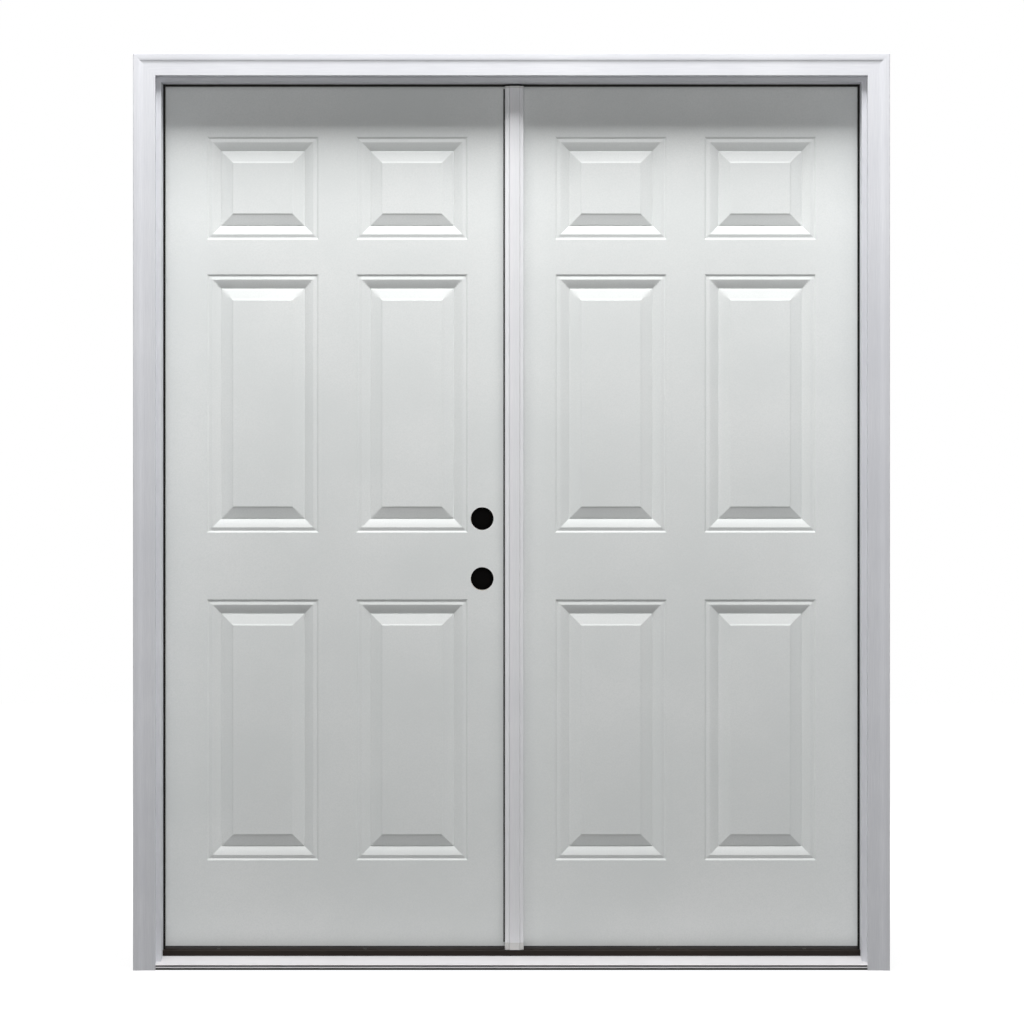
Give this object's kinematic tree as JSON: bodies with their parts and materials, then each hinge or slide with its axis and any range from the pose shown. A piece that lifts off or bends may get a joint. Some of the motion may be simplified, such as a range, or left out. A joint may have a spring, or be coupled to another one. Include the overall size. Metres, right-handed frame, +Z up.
{
  "type": "prehung exterior door",
  "caption": "Prehung pair of raised-panel exterior doors in a rabbeted wood frame with brickmould, astragal, threshold and lock bores, swinging indoors.",
  "frame": {"origin": "middle of the sill's underside, in the plane of the jambs' outdoor edges", "axes": "+X to the right seen from outdoors, +Y from outdoors to indoors, +Z up"},
  "size_m": [1.7398, 0.1602, 2.1082],
  "materials": {
    "primed_wood": "primed white",
    "primed_steel": "primed white, satin",
    "insulating_foam": "cut foam",
    "softwood": "planed",
    "sweep_vinyl": "matt",
    "seal_foam": "matt",
    "pad_foam": "matt",
    "hinge_steel": "satin nickel",
    "bolt_steel": "zinc plated",
    "boot_plastic": "moulded",
    "mill_aluminium": "mill",
    "sill_composite": "moulded",
    "riser_plastic": "moulded"
  },
  "bodies": {
    "frame": {"head_brickmould": "primed_wood", "head_jamb": "primed_wood", "head_strike_plate": "bolt_steel", "head_weatherstrip": "seal_foam", "left_brickmould": "primed_wood", "left_corner_pad": "pad_foam", "left_hinge_pins": "hinge_steel", "left_jamb": "primed_wood", "left_jamb_hinge_bottom": "hinge_steel", "left_jamb_hinge_middle": "hinge_steel", "left_jamb_hinge_top": "hinge_steel", "left_weatherstrip": "seal_foam", "right_brickmould": "primed_wood", "right_corner_pad": "pad_foam", "right_hinge_pins": "hinge_steel", "right_jamb": "primed_wood", "right_jamb_hinge_bottom": "hinge_steel", "right_jamb_hinge_middle": "hinge_steel", "right_jamb_hinge_top": "hinge_steel", "right_weatherstrip": "seal_foam", "sill_deck": "mill_aluminium", "sill_substrate": "sill_composite"},
    "riser": {"sill_riser": "riser_plastic"},
    "active_leaf": {"active_bottom_rail": "softwood", "active_core": "insulating_foam", "active_hinge_bottom": "hinge_steel", "active_hinge_middle": "hinge_steel", "active_hinge_stile": "softwood", "active_hinge_top": "hinge_steel", "active_inner_skin": "primed_steel", "active_lock_block": "softwood", "active_lock_stile": "softwood", "active_outer_skin": "primed_steel", "active_sweep": "sweep_vinyl", "active_top_rail": "softwood"},
    "inactive_leaf": {"astragal_bottom_boot": "boot_plastic", "astragal_flange": "primed_wood", "astragal_top_boot": "boot_plastic", "astragal_weatherstrip": "seal_foam", "astragal_web": "primed_wood", "inactive_bottom_rail": "softwood", "inactive_core": "insulating_foam", "inactive_hinge_bottom": "hinge_steel", "inactive_hinge_middle": "hinge_steel", "inactive_hinge_stile": "softwood", "inactive_hinge_top": "hinge_steel", "inactive_inner_skin": "primed_steel", "inactive_lock_stile": "softwood", "inactive_outer_skin": "primed_steel", "inactive_sweep": "sweep_vinyl", "inactive_top_rail": "softwood"},
    "top_bolt": {"top_flush_bolt": "bolt_steel"},
    "bottom_bolt": {"bottom_flush_bolt": "bolt_steel"}
  },
  "joints": [
    {"name": "active_swing", "type": "hinge", "parent": "frame", "child": "active_leaf", "pos_m": [-0.8159, 0.1224, 0], "axis": [0, 0, 1], "range_deg": [0, 180]},
    {"name": "inactive_swing", "type": "hinge", "parent": "frame", "child": "inactive_leaf", "pos_m": [0.8159, 0.1224, 0], "axis": [0, 0, -1], "range_deg": [0, 180]},
    {"name": "top_bolt_slide", "type": "slide", "parent": "inactive_leaf", "child": "top_bolt", "axis": [0, 0, 1], "range_m": [0, 0.019]},
    {"name": "bottom_bolt_slide", "type": "slide", "parent": "inactive_leaf", "child": "bottom_bolt", "axis": [0, 0, -1], "range_m": [0, 0.019]},
    {"name": "riser_adjust", "type": "slide", "parent": "frame", "child": "riser", "axis": [0, 0, 1], "range_m": [-0.004, 0]}
  ]
}
